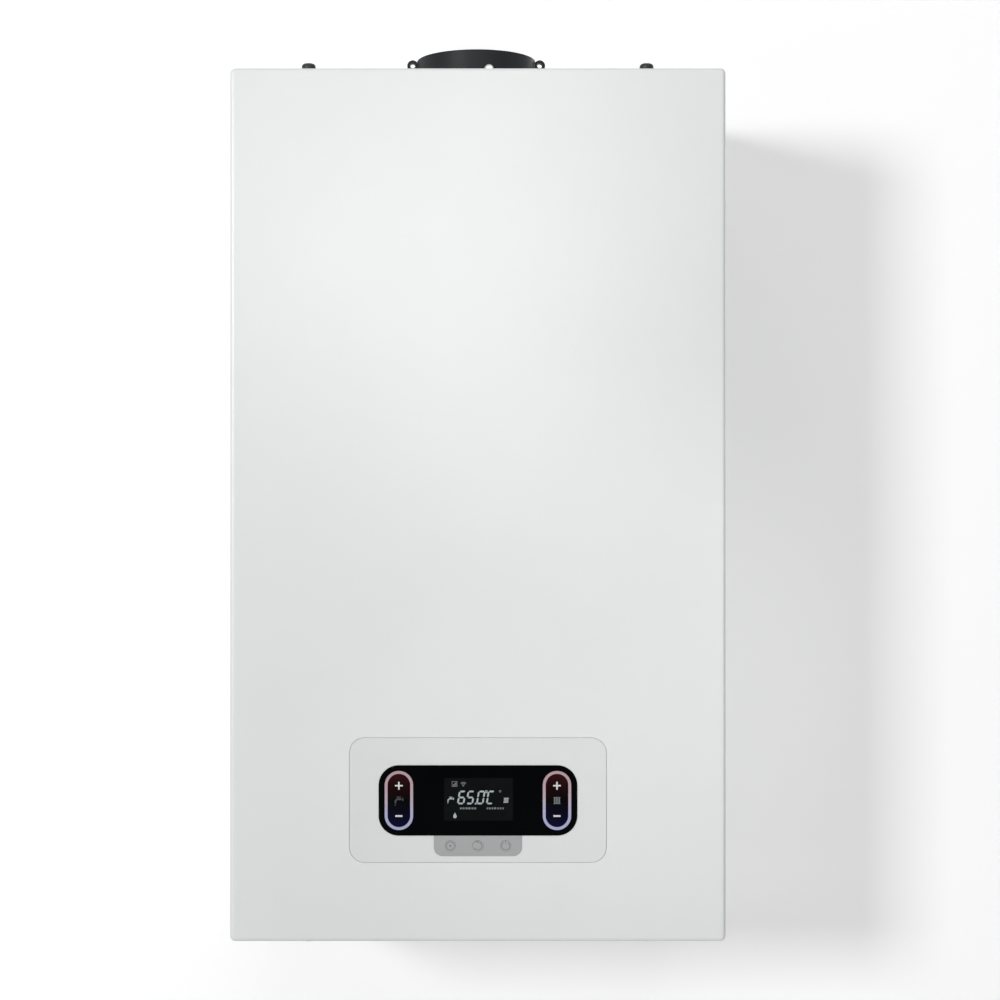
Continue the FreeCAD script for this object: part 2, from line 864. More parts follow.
def make_exchanger():
    wall, length = "exchanger_wall", "exchanger_length"
    flange = f"{length} - exchanger_flange_thick"
    inside = f"exchanger_radius - {wall}"
    profile = [("0", "0"), ("exchanger_radius", "0"), ("exchanger_radius", flange), ("door_radius", flange)]
    profile += [("door_radius", length), (inside, length), (inside, wall), ("0", wall)]
    drum = turned("drum", profile, ("0", "exchanger_rear", "exchanger_z"), FRONTWARD)
    spigot_low = "exchanger_z + exchanger_radius - 14"
    spigot = rod("spigot_bore + spigot_wall", f"spigot_top - ({spigot_low})", ("0", "flue_y", spigot_low))
    trap_rise = "exchanger_z - condensate_z - exchanger_radius * 0.8"
    trap = rod("hose_radius", trap_rise, ("-condensate_x", "siphon_y", "condensate_z"))
    ports = [
        rod("water_pipe + 3", "port_reach + 4", ("exchanger_radius - 4", "port_y", "port_z"), RIGHTWARD),
        rod("water_pipe + 3", "port_reach + 4", ("-(exchanger_radius - 4)", "port_y", "port_z"), LEFTWARD),
    ]
    bores = [
        rod("spigot_bore", "spigot_top - exchanger_z", ("0", "flue_y", "exchanger_z + exchanger_radius / 2")),
        rod("hose_radius - hose_wall", f"{trap_rise} + 2", ("-condensate_x", "siphon_y", "condensate_z - 1")),
        rod("water_pipe - water_wall", "2 * port_x + 2", ("-port_x - 1", "port_y", "port_z"), RIGHTWARD),
        rod(inside, length, ("0", f"exchanger_rear - {wall}", "exchanger_z"), FRONTWARD),
    ]
    keep(cut(fuse(drum, spigot, trap, *ports), *bores), "exchanger_housing")
    make_coil()
    make_door()
    make_cradle()


def make_coil():
    """The stack of flattened turns that the flue gas passes between."""
    pitch = "(coil_turn + coil_gap)"
    profile = [("coil_inner", "exchanger_wall")]
    room = mm("exchanger_length") - mm("insulation_thick") - mm("exchanger_wall")
    count = int(room // (mm("coil_turn") + mm("coil_gap")))
    groove = "coil_outer - coil_groove"
    for turn in range(count):
        low = f"exchanger_wall + {turn} * {pitch}"
        profile += [("coil_outer", low), ("coil_outer", f"{low} + coil_turn")]
        if turn < count - 1:
            profile += [(groove, f"{low} + coil_turn"), (groove, f"{low} + {pitch}")]
    profile.append(("coil_inner", f"exchanger_wall + {count - 1} * {pitch} + coil_turn"))
    coil = turned("coil", profile, ("0", "exchanger_rear", "exchanger_z"), FRONTWARD)
    keep(coil, "exchanger_coil")


def electrode_places():
    return [(f"{side} * electrode_spread", "exchanger_z + electrode_rise") for side in ("-1", "1")]


def make_door():
    at = ("0", "door_rear", "exchanger_z")
    rim = "exchanger_radius - 12"
    face = [("door_port", "0"), ("door_radius", "0"), ("door_radius", "door_rim"), (rim, "door_rim")]
    face += [(f"{rim} - 4", "door_thick"), ("door_port", "door_thick")]
    disc = turned("door", face, at, FRONTWARD)
    tools = [
        rod("electrode_radius + fit_gap", "door_thick + 4", (x, "door_rear + 2", z), FRONTWARD)
        for x, z in electrode_places()
    ]
    keep(cut(disc, *tools), "burner_door")
    inside = "burner_radius - burner_wall"
    can = [(inside, "0"), ("burner_flange", "0"), ("burner_flange", "2"), ("burner_radius", "2")]
    can += [("burner_radius", "burner_length"), ("0", "burner_length")]
    can += [("0", "burner_length - burner_wall"), (inside, "burner_length - burner_wall")]
    keep(turned("burner", can, at, REARWARD), "burner")
    tip = "-(door_thick + electrode_reach)"
    spark = [("0", tip), ("electrode_radius", tip), ("electrode_radius", "0"), ("8", "0")]
    spark += [("8", "2.5"), ("electrode_radius + 1", "2.5"), ("electrode_radius + 1", "14"), ("0", "14")]
    pair = [turned("electrode", spark, (x, "door_front", z), FRONTWARD) for x, z in electrode_places()]
    keep(group(*pair), "electrodes")


def make_cradle():
    """A cross member between the side panels with an arc that the drum lies in."""
    plate = block(
        ("-half_inside", "cradle_y - cradle_sheet", "cradle_top - cradle_height - exchanger_radius * 0.2"),
        ("half_inside", "cradle_y", "cradle_top"),
    )
    drum = ("0", "exchanger_rear", "exchanger_z")
    arc = rod("exchanger_radius + 2 * fit_gap", "exchanger_length", drum, FRONTWARD)
    trap = rod("hose_radius + 2", "200", ("-condensate_x", "siphon_y", "condensate_z - 100"))
    keep(cut(plate, arc, trap), "exchanger_cradle")


# Fan, mixer and gas train

def make_fan():
    wall = "fan_wall"
    left = "fan_x - fan_radius"
    right = f"{left} + fan_outlet"
    outer = fuse(
        rod("fan_radius", "fan_depth", ("fan_x", "door_front", "fan_z"), FRONTWARD),
        block((left, "fan_front", "fan_z"), (right, "door_front", "fan_top")),
    )
    back = f"door_front - {wall}"
    inner = fuse(
        rod(f"fan_radius - {wall}", f"fan_depth - 2 * {wall}", ("fan_x", back, "fan_z"), FRONTWARD),
        block((f"{left} + {wall}", f"fan_front + {wall}", "fan_z"), (f"{right} - {wall}", back, "fan_top + 1")),
    )
    inlet = rod("mixer_radius - 6", "fan_wall + 2", ("fan_x", "door_front + 1", "fan_z"), FRONTWARD)
    way = ("fan_x", "fan_front + fan_wall + 1", "fan_z")
    passage = rod("fan_shaft + run_gap", "fan_wall + 2", way, FRONTWARD)
    keep(cut(outer, inner, inlet, passage), "fan_housing")
    make_impeller()
    length, bore = "fan_motor_length", "fan_shaft + shaft_gap"
    motor = [(bore, "0"), ("fan_motor_radius", "0"), ("fan_motor_radius", f"{length} - 5")]
    motor += [("fan_motor_radius - 5", length), ("0", length), ("0", f"{length} - 4"), (bore, f"{length} - 4")]
    keep(turned("fan_motor", motor, ("fan_x", "fan_front", "fan_z"), FRONTWARD), "fan_motor")


def make_impeller():
    """Backplate, curved row of blades and shaft, spinning as one."""
    body = new_body("fan_impeller")
    plate_low = "fan_depth - fan_wall - 8"
    plate = sketch(body, "XY_Plane", plate_low)
    circle(plate, ("0", "0"), "impeller_radius")
    pad(body, plate, "2")
    blade = sketch(body, "XY_Plane", "fan_wall + 3")
    polygon(blade, [("30", "-1"), ("impeller_radius - 1", "9"), ("impeller_radius - 1", "11"), ("30", "1")])
    vane = pad(body, blade, f"{plate_low} - fan_wall - 3")
    row = body.newObject("PartDesign::PolarPattern", "blades")
    row.Originals = [vane]
    row.Axis = (blade, ["N_Axis"])
    row.Angle = 360
    row.Occurrences = 16
    body.Tip = row
    doc.recompute()
    shaft = sketch(body, "XY_Plane", f"{plate_low} + 1")
    circle(shaft, ("0", "0"), "fan_shaft")
    pad(body, shaft, "fan_wall + fan_motor_length + 1")
    put(body, ("fan_x", "door_front", "fan_z"), FRONTWARD)
    keep(body, "fan_impeller")


def make_manifold():
    deep, wall = "fan_depth - 4", "manifold_wall"
    face, back = f"door_front - ({deep})", f"door_front - {wall}"
    outer = fuse(
        block(("-manifold_half", face, "fan_top"), ("manifold_half", "door_front", "exchanger_z")),
        rod("manifold_radius", deep, ("0", "door_front", "exchanger_z"), FRONTWARD),
    )
    narrow = "manifold_half - manifold_wall"
    inner = fuse(
        block((f"-({narrow})", f"{face} + {wall}", "fan_top - 1"), (narrow, back, "exchanger_z")),
        rod(f"manifold_radius - {wall}", f"{deep} - 2 * {wall}", ("0", back, "exchanger_z"), FRONTWARD),
        rod("door_port", f"2 * {wall}", ("0", f"door_front + {wall} / 2", "exchanger_z"), FRONTWARD),
    )
    keep(cut(outer, inner), "mixing_manifold")


def make_mixer():
    r, length = "mixer_radius", "mixer_length"
    throat = [(f"{r} - 6", "0"), (f"{r} + 8", "0"), (f"{r} + 8", "4"), (r, "4")]
    throat += [(r, length), (f"{r} - 6", length), (f"{r} - 14", f"{length} / 2")]
    tube = turned("venturi", throat, ("fan_x", "door_front", "fan_z"), REARWARD)
    start = f"fan_x + {r} - 6"
    port = rod("gas_pipe + 2", f"gas_port_x - ({start})", (start, "gas_y", "fan_z"), RIGHTWARD)
    hole = rod("gas_pipe - 2", "gas_port_x - fan_x", ("fan_x + 1", "gas_y", "fan_z"), RIGHTWARD)
    keep(cut(fuse(tube, port), hole), "gas_mixer")
    low = ("-silencer_left", "mixer_rear", "fan_z - silencer_half")
    high = ("silencer_right", "mixer_rear + silencer_depth", "fan_z + silencer_half")
    wall = "silencer_wall"
    inside = block(
        (f"{low[0]} - 1", f"{low[1]} + {wall}", f"{low[2]} + {wall}"),
        (f"{high[0]} - {wall}", f"{high[1]} - {wall}", f"{high[2]} - {wall}"),
    )
    mouth = rod("mixer_radius - 6", "6", ("fan_x", "mixer_rear - 2", "fan_z"), REARWARD)
    keep(cut(block(low, high), inside, mouth), "air_silencer")


def make_gas_train():
    half = "valve_width / 2"
    low = (f"-{half}", "gas_y - valve_depth / 2", "valve_low")
    high = (half, "gas_y + valve_depth / 2", "valve_low + valve_height")
    outlet = rod("gas_pipe + 5", "10", (half, "gas_y", "valve_port_z"), RIGHTWARD)
    test_nipples = [rod("4.5", "9", (x, low[1], f"{high[2]} - 12"), FRONTWARD) for x in ("-20", "-6")]
    hollow = rod("gas_pipe - 1", "24", (f"{half} - 12", "gas_y", "valve_port_z"), RIGHTWARD)
    keep(cut(fuse(block(low, high), outlet, *test_nipples), hollow), "gas_valve")
    coils = [
        rod("15", "valve_depth * 0.35", (x, low[1], "valve_low + 30"), FRONTWARD) for x in ("-17", "17")
    ]
    keep(group(*coils), "gas_valve_coils")
    keep(gas_inlet(), "gas_inlet_pipe")
    route = [
        (mm("valve_width") / 2 + 10, mm("gas_y"), mm("valve_port_z")),
        (mm("gas_riser_x"), mm("gas_y"), mm("valve_port_z")),
        (mm("gas_riser_x"), mm("gas_y"), mm("fan_z")),
        (mm("gas_port_x"), mm("gas_y"), mm("fan_z")),
    ]
    keep(pipe("gas_feed_pipe", route, mm("gas_pipe"), mm("water_wall"), mm("gas_bend")), "gas_feed_pipe")


def gas_inlet():
    return cut(
        fuse(*stub("0", "gas_y", "heating_thread", "valve_low")),
        rod("heating_thread - 4", "valve_low - stub_low + 2", ("0", "gas_y", "stub_low - 1")),
    )


def stub(x, y, thread, high, seated=True):
    """A tail below the casing, its neck through the bottom panel and the hexagon that seats it there."""
    thread_top = "underside - 1"
    tail = [
        rod(thread, f"{thread_top} - stub_low", (x, y, "stub_low")),
        rod(f"{thread} - thread_relief", f"{high} - ({thread_top})", (x, y, thread_top)),
    ]
    return tail + [hexagon(f"{thread} + 7", "8", (x, y, "deck"))] if seated else tail


# Water side

def make_vessel():
    r, d, rim = "vessel_radius", "vessel_depth", "vessel_rim"
    below, above = f"{d} / 2 - 2", f"{d} / 2 + 2"
    profile = [("0", "0"), ("60", "0"), (f"{r} - 16", "5"), (r, "20"), (r, below), (f"{r} + {rim}", below)]
    profile += [(f"{r} + {rim}", above), (r, above), (r, f"{d} - 20")]
    profile += [(f"{r} - 16", f"{d} - 5"), ("60", d), ("0", d)]
    shell = turned("vessel", profile, ("0", "rear", "vessel_z"), FRONTWARD)
    tail = rod("vessel_pipe + 4", f"{rim} + 12", ("0", "vessel_mid", "vessel_tail_low"))
    w = "vessel_wall"
    space = [("0", w), ("60", w), (f"{r} - 16", f"5 + {w}"), (f"{r} - {w}", "20"), (f"{r} - {w}", f"{d} - 20")]
    space += [(f"{r} - 16", f"{d} - 5 - {w}"), ("60", f"{d} - {w}"), ("0", f"{d} - {w}")]
    hollow = turned("vessel_space", space, ("0", "rear", "vessel_z"), FRONTWARD)
    inlet = rod("vessel_pipe - water_wall", f"{rim} + 20", ("0", "vessel_mid", "vessel_tail_low - 1"))
    keep(cut(fuse(shell, tail), hollow, inlet), "expansion_vessel")
    level = mm("vessel_tail_low") - mm("vessel_drop")
    across = mm("group_inner") + mm("vessel_offset")
    route = [
        (0, mm("vessel_mid"), mm("vessel_tail_low")),
        (0, mm("vessel_mid"), level),
        (across, mm("vessel_mid"), level),
        (across, mm("port_y"), level),
        (across, mm("port_y"), mm("group_top")),
    ]
    keep(pipe("vessel_pipe", route, mm("vessel_pipe"), mm("water_wall"), mm("vessel_bend")), "vessel_pipe")


def make_plate_exchanger():
    """Brazed plates, every other one a little smaller, with two pairs of ports on the front."""
    pieces = []
    thick = "plate_depth / plate_count"
    for i in range(int(mm("plate_count"))):
        inset = "plate_step" if i % 2 else "0"
        y = f"plate_front + {i} * {thick}"
        low = (f"-plate_width / 2 + {inset}", y, f"plate_low + {inset}")
        high = (f"plate_width / 2 - {inset}", f"{y} + {thick}", f"plate_low + plate_height - {inset}")
        pieces.append(block(low, high))
    edge = "plate_margin"
    low = (f"-plate_width / 2 + {edge}", f"plate_front + {edge}", f"plate_low + {edge}")
    back, roof = f"plate_front + plate_depth - {edge}", f"plate_low + plate_height - {edge}"
    high = (f"plate_width / 2 - {edge}", back, roof)
    space = [block(low, high)]
    for x in ("-plate_width / 2 + 2 * plate_port", "plate_width / 2 - 2 * plate_port"):
        for z in ("plate_low + 2 * plate_port", "plate_low + plate_height - 2 * plate_port"):
            pieces.append(rod("plate_port", "plate_front - group_rear", (x, "plate_front", z), FRONTWARD))
            length = f"plate_front - group_rear + 2 * {edge}"
            space.append(rod("plate_port - 2", length, (x, f"plate_front + 1.5 * {edge}", z), FRONTWARD))
    keep(cut(fuse(*pieces), *space), "plate_exchanger")


def make_groups():
    """The two brass blocks that the five tails hang from."""
    left = fuse(
        block(("-group_outer", "group_front", "group_bottom"), ("-group_inner", "group_rear", "group_top")),
        *stub("-2 * stub_pitch", "port_y", "heating_thread", "group_bottom + 1"),
        *stub("-stub_pitch", "port_y", "tap_thread", "group_bottom + 1"),
        *tap_spindle("-tap_x"),
    )
    bores = [stub_bore("-2 * stub_pitch", "heating_thread"), stub_bore("-stub_pitch", "tap_thread")]
    guide_low = ("-actuator_x", "port_y", "group_top - guide_length - 2")
    guide = rod("stem_radius + shaft_gap", "guide_length + 4", guide_low)
    keep(cut(left, *bores, group_space("-group_outer", "-group_inner", "guide_length"), guide), "flow_group")
    right = fuse(
        block(("group_inner", "group_front", "group_bottom"), ("group_outer", "group_rear", "group_top")),
        *stub("2 * stub_pitch", "port_y", "heating_thread", "group_bottom + 1"),
        *stub("stub_pitch", "port_y", "tap_thread", "group_bottom + 1"),
        *tap_spindle("tap_x"),
    )
    bores = [stub_bore("2 * stub_pitch", "heating_thread"), stub_bore("stub_pitch", "tap_thread")]
    keep(cut(right, *bores, group_space("group_inner", "group_outer", "group_wall")), "return_group")
    make_diverter()


def group_space(left, right, roof_wall):
    """The water space inside a block."""
    wall = "group_wall"
    return block(
        (f"{left} + {wall}", f"group_front + {wall}", f"group_bottom + {wall}"),
        (f"{right} - {wall}", f"group_rear - {wall}", f"group_top - {roof_wall}"),
    )


def stub_bore(x, thread):
    return rod(f"{thread} - 3.5", "group_bottom + group_wall - stub_low + 2", (x, "port_y", "stub_low - 1"))


def tap_spindle(x):
    """A tap's neck through the bottom panel, with the spindle that its knob turns on."""
    return [
        rod("hose_radius - 1", "group_bottom - bottom + 4", (x, "tap_y", "bottom - 3")),
        rod("fan_shaft", "knob_height - 2", (x, "tap_y", "bottom - knob_height - 1")),
    ]


def knob(label, base, turn):
    """A ribbed hand knob with a blind bore for its spindle."""
    body = turned(
        label,
        [
            ("fan_shaft + shaft_gap", "0"),
            ("knob_radius - 2", "0"),
            ("knob_radius - 2", "knob_height"),
            ("0", "knob_height"),
            ("0", "knob_height - 2"),
            ("fan_shaft + shaft_gap", "knob_height - 2"),
        ],
        base,
        turn,
    )
    outline = sketch(body, "XY_Plane")
    polygon(outline, box_corners("knob_radius - 4", "knob_radius", "-1.6", "1.6"))
    rib = pad(body, outline, "knob_height")
    ribs = body.newObject("PartDesign::PolarPattern", "ribs")
    ribs.Originals = [rib]
    ribs.Axis = (outline, ["N_Axis"])
    ribs.Angle = 360
    ribs.Occurrences = 8
    body.Tip = ribs
    doc.recompute()
    keep(body, label)


def make_diverter():
    case = block(
        ("-actuator_x - 20", "port_y - 24", "group_top"),
        ("-actuator_x + 20", "port_y + 20", "group_top + actuator_height"),
    )
    plug = block(
        ("-actuator_x - 10", "port_y - 34", "group_top + 30"),
        ("-actuator_x + 10", "port_y - 24", "group_top + 48"),
    )
    hole = rod("stem_radius + run_gap", "40", ("-actuator_x", "port_y", "group_top - 1"))
    keep(cut(fuse(case, plug), hole), "diverter_actuator")
    disc = fuse(
        rod("stem_radius", "76", ("-actuator_x", "port_y", "group_top - 52")),
        rod("9.5", "6", ("-actuator_x", "port_y", "group_top - 50")),
    )
    keep(disc, "diverter_stem")


def make_pump():
    foot = block(("pump_x - 16", "port_y - 16", "group_top"), ("pump_x + 16", "port_y + 16", "pump_z"))
    casing = fuse(
        rod("pump_radius", "pump_depth", ("pump_x", "pump_rear", "pump_z"), FRONTWARD),
        foot,
        rod("water_pipe + 4", "pump_top - pump_z", ("pump_x", "port_y", "pump_z")),
        rod("vent_radius + 1", "vent_base - pump_z", ("vent_x", "port_y", "pump_z")),
    )
    cavity = rod("pump_cavity", "19", ("pump_x", "pump_front + 18", "pump_z"), FRONTWARD)
    outlet_low = ("pump_x", "port_y", "pump_z + pump_radius - 8")
    outlet = rod("water_pipe - water_wall", "pump_top - pump_z", outlet_low)
    keep(cut(casing, cavity, outlet), "pump_body")
    wheel = [("0", "2"), ("pump_cavity - 3", "2"), ("pump_cavity - 3", "12")]
    wheel += [("pump_shaft + 6", "16"), ("pump_shaft", "16")]
    wheel += [("pump_shaft", "18 + pump_motor_length - 12"), ("0", "18 + pump_motor_length - 12")]
    keep(turned("pump_rotor", wheel, ("pump_x", "pump_front + 18", "pump_z"), FRONTWARD), "pump_rotor")
    r, length = "pump_motor_radius", "pump_motor_length"
    bore = "pump_shaft + shaft_gap"
    can = [(bore, "0"), ("pump_radius", "0"), ("pump_radius", "6"), (r, "6"), (r, f"{length} - 8")]
    can += [(f"{r} - 6", length), ("0", length), ("0", f"{length} - 8"), (bore, f"{length} - 8")]
    keep(turned("pump_motor", can, ("pump_x", "pump_front", "pump_z"), FRONTWARD), "pump_motor")
    route = [
        (mm("pump_x"), mm("port_y"), mm("pump_top")),
        (mm("pump_x"), mm("port_y"), mm("bottom") + mm("riser_level")),
        (mm("riser_x"), mm("port_y"), mm("bottom") + mm("riser_level")),
        (mm("riser_x"), mm("port_y"), mm("port_z")),
        (mm("port_x"), mm("port_y"), mm("port_z")),
    ]
    keep(pipe("return_pipe", route, mm("water_pipe"), mm("water_wall"), mm("return_bend")), "return_pipe")
    level, riser = mm("bottom") + mm("riser_level"), -mm("riser_x") - mm("flow_offset")
    route = [
        (-2 * mm("stub_pitch"), mm("port_y"), mm("group_top")),
        (-2 * mm("stub_pitch"), mm("port_y"), level),
        (riser, mm("port_y"), level + mm("flow_jog")),
        (riser, mm("port_y"), mm("port_z")),
        (-mm("port_x"), mm("port_y"), mm("port_z")),
    ]
    keep(pipe("flow_pipe", route, mm("water_pipe"), mm("water_wall"), mm("flow_bend")), "flow_pipe")
    make_vent()
    make_nuts()


def make_vent():
    profile = [("0", "0"), ("vent_radius", "0"), ("vent_radius", "vent_height - 6")]
    profile += [("5", "vent_height"), ("5", "vent_height + 8"), ("0", "vent_height + 8")]
    keep(turned("air_vent", profile, ("vent_x", "port_y", "vent_base")), "air_vent")
    bore = "5 + shaft_gap"
    cap = [(bore, "0"), ("8", "0"), ("8", "9"), ("6", "12"), ("0", "12"), ("0", "9"), (bore, "9")]
    keep(turned("air_vent_cap", cap, ("vent_x", "port_y", "vent_base + vent_height + cap_gap")), "air_vent_cap")


def make_nuts():
    """The union nuts at the pipe ends and the six nuts that clamp the burner door."""
    nuts = []
    for turn in range(6):
        x = f"nut_circle * cos({60 * turn} deg)"
        z = f"exchanger_z + nut_circle * sin({60 * turn} deg)"
        nuts.append(hexagon("nut_radius", "nut_thick", (x, "door_rear - door_rim", z), FRONTWARD))
    water, gas = "water_pipe", "gas_pipe"
    for pipe_radius, base, turn in (
        (water, ("port_x", "port_y", "port_z"), RIGHTWARD),
        (water, ("-port_x", "port_y", "port_z"), LEFTWARD),
        (water, ("pump_x", "port_y", "pump_top"), UP),
        (water, ("-2 * stub_pitch", "port_y", "group_top"), UP),
        (gas, ("valve_width / 2 + 10", "gas_y", "valve_port_z"), RIGHTWARD),
        (gas, ("gas_port_x", "gas_y", "fan_z"), RIGHTWARD),
    ):
        body = hexagon(f"{pipe_radius} + 7", "11", base, turn)
        nuts.append(cut(body, rod(f"{pipe_radius} + fit_gap", "11", base, turn)))
    keep(group(*nuts), "brass_nuts")


def make_safety_valve():
    half = "safety_half"
    side = f"safety_x + {half}"
    low = (f"safety_x - {half}", f"safety_y - {half}", f"safety_z - {half}")
    neck = ("safety_x", "group_front", "safety_z")
    valve = fuse(
        block(low, (side, f"safety_y + {half}", f"safety_z + {half}")),
        rod(f"{half} - 3", f"group_front - safety_y - {half}", neck, FRONTWARD),
        rod(f"{half} - 1", "safety_bonnet", (side, "safety_y", "safety_z"), RIGHTWARD),
        rod("fan_shaft", "safety_bonnet + knob_height - 3", (side, "safety_y", "safety_z"), RIGHTWARD),
        *stub("safety_x", "safety_y", "hose_radius - 1", f"safety_z - {half} + 1", False),
    )
    bore = rod("hose_radius - 3.5", "deck - stub_low + 20", ("safety_x", "safety_y", "stub_low - 1"))
    keep(cut(valve, bore), "safety_valve")
    knob("safety_knob", (f"{side} + safety_bonnet + cap_gap", "safety_y", "safety_z"), RIGHTWARD)
    for label, x in (("filling_knob", "tap_x"), ("drain_knob", "-tap_x")):
        knob(label, (x, "tap_y", "bottom - 3.3"), DOWNWARD)


def make_siphon():
    r, height = "siphon_radius", "siphon_top - siphon_base"
    profile = [("0", "0"), (f"{r} - 6", "0"), (r, "10"), (r, f"{height} - 26")]
    profile += [(f"{r} + 3", f"{height} - 26"), (f"{r} + 3", f"{height} - 14")]
    profile += [(f"{r} - 4", f"{height} - 14"), ("hose_radius + 3", height), ("0", height)]
    cup = turned("siphon_cup", profile, ("-siphon_x", "siphon_y", "siphon_base"))
    lug = block(
        ("-half_inside", "siphon_y - 9", "siphon_base + 50"),
        ("-siphon_x - siphon_radius + 6", "siphon_y + 9", "siphon_base + 80"),
    )
    level = mm("condensate_z") - mm("hose_drop")
    route = [
        (-mm("condensate_x"), mm("siphon_y"), mm("condensate_z")),
        (-mm("condensate_x"), mm("siphon_y"), level),
        (-mm("siphon_x"), mm("siphon_y"), level),
        (-mm("siphon_x"), mm("siphon_y"), mm("siphon_top")),
    ]
    hose = pipe("condensate_hose", route, mm("hose_radius"), mm("hose_wall"), mm("hose_bend"))
    keep(hose, "condensate_hose")
    drain = cut(
        fuse(*stub("-siphon_x", "siphon_y", "drain_thread", "siphon_base", False)),
        rod("drain_thread - 2.5", "siphon_base - stub_low + 2", ("-siphon_x", "siphon_y", "stub_low - 1")),
    )
    keep(fuse(cup, lug, drain), "condensate_siphon")


def make_glands():
    """Two glands in the bottom panel for the mains and room-control cables."""
    r, neck = "plug_radius", "plug_radius - cap_gap"
    profile = [("3.5", "-12"), (f"{r} - 3", "-12"), (r, "-8"), (r, "0"), (neck, "0"), (neck, "frame_sheet")]
    profile += [(f"{r} + 3", "frame_sheet"), (f"{r} + 3", "frame_sheet + 6"), ("3.5", "frame_sheet + 6")]
    pair = [turned("gland", profile, (x, "siphon_y", "underside")) for x in ("-stub_pitch / 2", "stub_pitch")]
    keep(group(*pair), "cable_glands")


# Ignition

def make_ignition():
    low = ("half_inside - ignition_width", "fan_front", "fan_z + ignition_rise")
    high = ("half_inside", "fan_front + ignition_depth", "ignition_top")
    case = block(low, high)
    lead_y = mm("door_front") - mm("lead_stand")
    x, z = mm("electrode_spread"), mm("exchanger_z") + mm("electrode_rise")
    turn_x = mm("half_inside") - mm("ignition_width") / 2
    route = [(x, lead_y, z), (turn_x, lead_y, z), (turn_x, lead_y, mm("ignition_top"))]
    lead = swept(rounded_path([Vector(*p) for p in route], mm("lead_bend")), mm("lead_radius"))
    boot_base = Vector(x, mm("door_front") - mm("boot_stand"), z)
    boot = Part.makeCylinder(mm("boot_radius"), mm("boot_length"), boot_base, Vector(0, -1, 0))
    made = doc.addObject("Part::Feature", "ignition_lead")
    made.Shape = lead.fuse(boot).removeSplitter()
    keep(fuse(case, made), "ignition_unit")


# Control panel

def make_control_panel():
    side, rise = "panel_width / 2", "panel_height / 2"
    bezel = front_plate(
        "bezel_face",
        box_corners(f"-{side}", side, f"panel_z - {rise}", f"panel_z + {rise}"),
        "panel_rear",
        "panel_thick",
    )
    fillet(bezel, "panel_corner", lambda edge: runs_along(edge, "y"))
    skirt = block(
        ("-box_width / 2", "panel_rear", "panel_z - box_height / 2"),
        ("box_width / 2", "box_front", "panel_z + box_height / 2"),
    )
    hollow = block(
        ("-box_width / 2 + box_wall", "panel_rear", "panel_z - box_height / 2 + box_wall"),
        ("box_width / 2 - box_wall", "box_front + 1", "panel_z + box_height / 2 - box_wall"),
    )
    size = "glass_width + 2 * fit_gap", "glass_height + 2 * fit_gap"
    recess = rounded_slab(*size, "glass_corner", "glass_z", "glass_rear", "glass_thick + 1")
    tray = strip_slab("strip_width + 2 * fit_gap", "strip_low - fit_gap", "panel_rear - 1", "panel_thick")
    windows = ring_holes("window_gap", "panel_rear + 1", "panel_thick + 2")
    side, rise = "lcd_width / 2 + lcd_gap", "lcd_height / 2 + lcd_gap"
    lcd_hole = block(
        (f"-({side})", "front - 1", f"glass_z - ({rise})"),
        (side, "panel_rear + 1", f"glass_z + {rise}"),
    )
    face = cut(fuse(bezel, cut(skirt, hollow)), recess, tray, lcd_hole, *windows, *key_holes("panel_rear + 2"))
    keep(face, "control_bezel")
    lcd = make_glass()
    make_keys()
    make_control_box(lcd)


def key_places():
    return ["-key_spread", "0", "key_spread"]


def key_holes(rear):
    return [rod("key_radius + key_gap", "panel_thick + 4", (x, rear, "key_z"), FRONTWARD) for x in key_places()]


def ring_holes(gap, rear, thick):
    """Openings for the two lit rings."""
    size = f"ring_width + 2 * {gap}", f"ring_height + 2 * {gap}"
    return [stadium(*size, (f"{side} * ring_spread", "glass_z"), rear, thick) for side in ("-1", "1")]


def rounded_slab(width, height, corner, middle, rear, thick):
    """A slab with rounded corners that faces the room, centred on X = 0."""
    side, rise = f"({width}) / 2", f"({height}) / 2"
    corners = box_corners(f"-{side}", side, f"{middle} - {rise}", f"{middle} + {rise}")
    body = front_plate("slab", corners, rear, thick)
    fillet(body, corner, lambda edge: runs_along(edge, "y"))
    return body


def strip_slab(width, low, rear, thick):
    """The key strip's outline: square where it meets the glass, round at its lower corners."""
    body = front_plate("strip", box_corners(f"-({width}) / 2", f"({width}) / 2", low, "glass_low"), rear, thick)
    level = body.Shape.BoundBox.ZMin
    fillet(body, "strip_corner", lambda edge: runs_along(edge, "y") and abs(edge.BoundBox.ZMin - level) < 1e-4)
    return body


def across(radius, length, middle):
    """A rod along X, given by its middle."""
    x, y, z = middle
    return rod(radius, length, (f"{x} - ({length}) / 2", y, z), RIGHTWARD)


